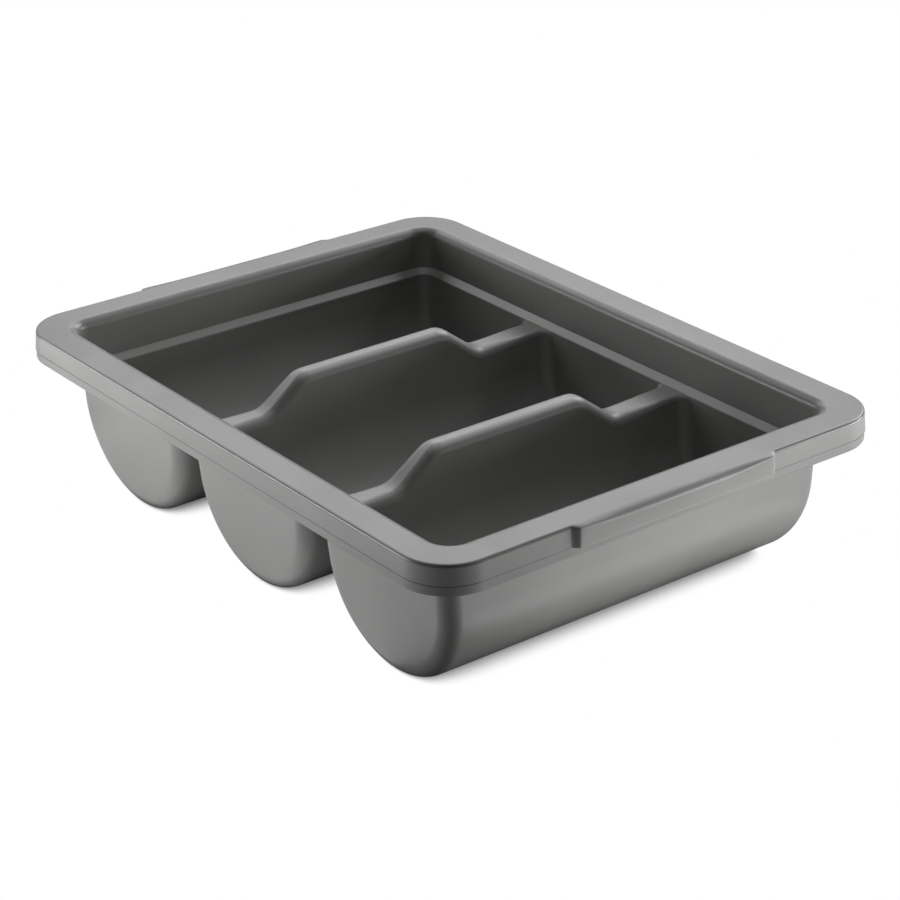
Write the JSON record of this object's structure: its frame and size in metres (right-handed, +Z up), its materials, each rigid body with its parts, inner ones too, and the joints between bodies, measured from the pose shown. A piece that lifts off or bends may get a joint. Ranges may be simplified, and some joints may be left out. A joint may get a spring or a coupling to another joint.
{
  "type": "cutlery dispenser",
  "caption": "Moulded cutlery box with round-bottomed side-by-side troughs, dropped dividers, a shallow upper tray and a wide turned-down rim with grip pads.",
  "frame": {"origin": "under the middle of the box, on the surface it stands on", "axes": "+X across the troughs (the longer way of the rim), +Y along the troughs, +Z up"},
  "size_m": [0.4184, 0.3136, 0.0995],
  "materials": {
    "box_plastic": "satin grey"
  },
  "bodies": {
    "root": {"divider_left": "box_plastic", "divider_right": "box_plastic", "grip_pad_left": "box_plastic", "grip_pad_right": "box_plastic", "ledge_back": "box_plastic", "ledge_front": "box_plastic", "ledge_left": "box_plastic", "ledge_right": "box_plastic", "rim_back": "box_plastic", "rim_corner_back_left": "box_plastic", "rim_corner_back_right": "box_plastic", "rim_corner_front_left": "box_plastic", "rim_corner_front_right": "box_plastic", "rim_front": "box_plastic", "rim_left": "box_plastic", "rim_right": "box_plastic", "skirt_back": "box_plastic", "skirt_front": "box_plastic", "skirt_left": "box_plastic", "skirt_right": "box_plastic", "tray_wall_back": "box_plastic", "tray_wall_front": "box_plastic", "tray_wall_left": "box_plastic", "tray_wall_right": "box_plastic", "trough_left": "box_plastic", "trough_left_back_end": "box_plastic", "trough_left_front_end": "box_plastic", "trough_middle": "box_plastic", "trough_middle_back_end": "box_plastic", "trough_middle_front_end": "box_plastic", "trough_right": "box_plastic", "trough_right_back_end": "box_plastic", "trough_right_front_end": "box_plastic"}
  },
  "joints": []
}
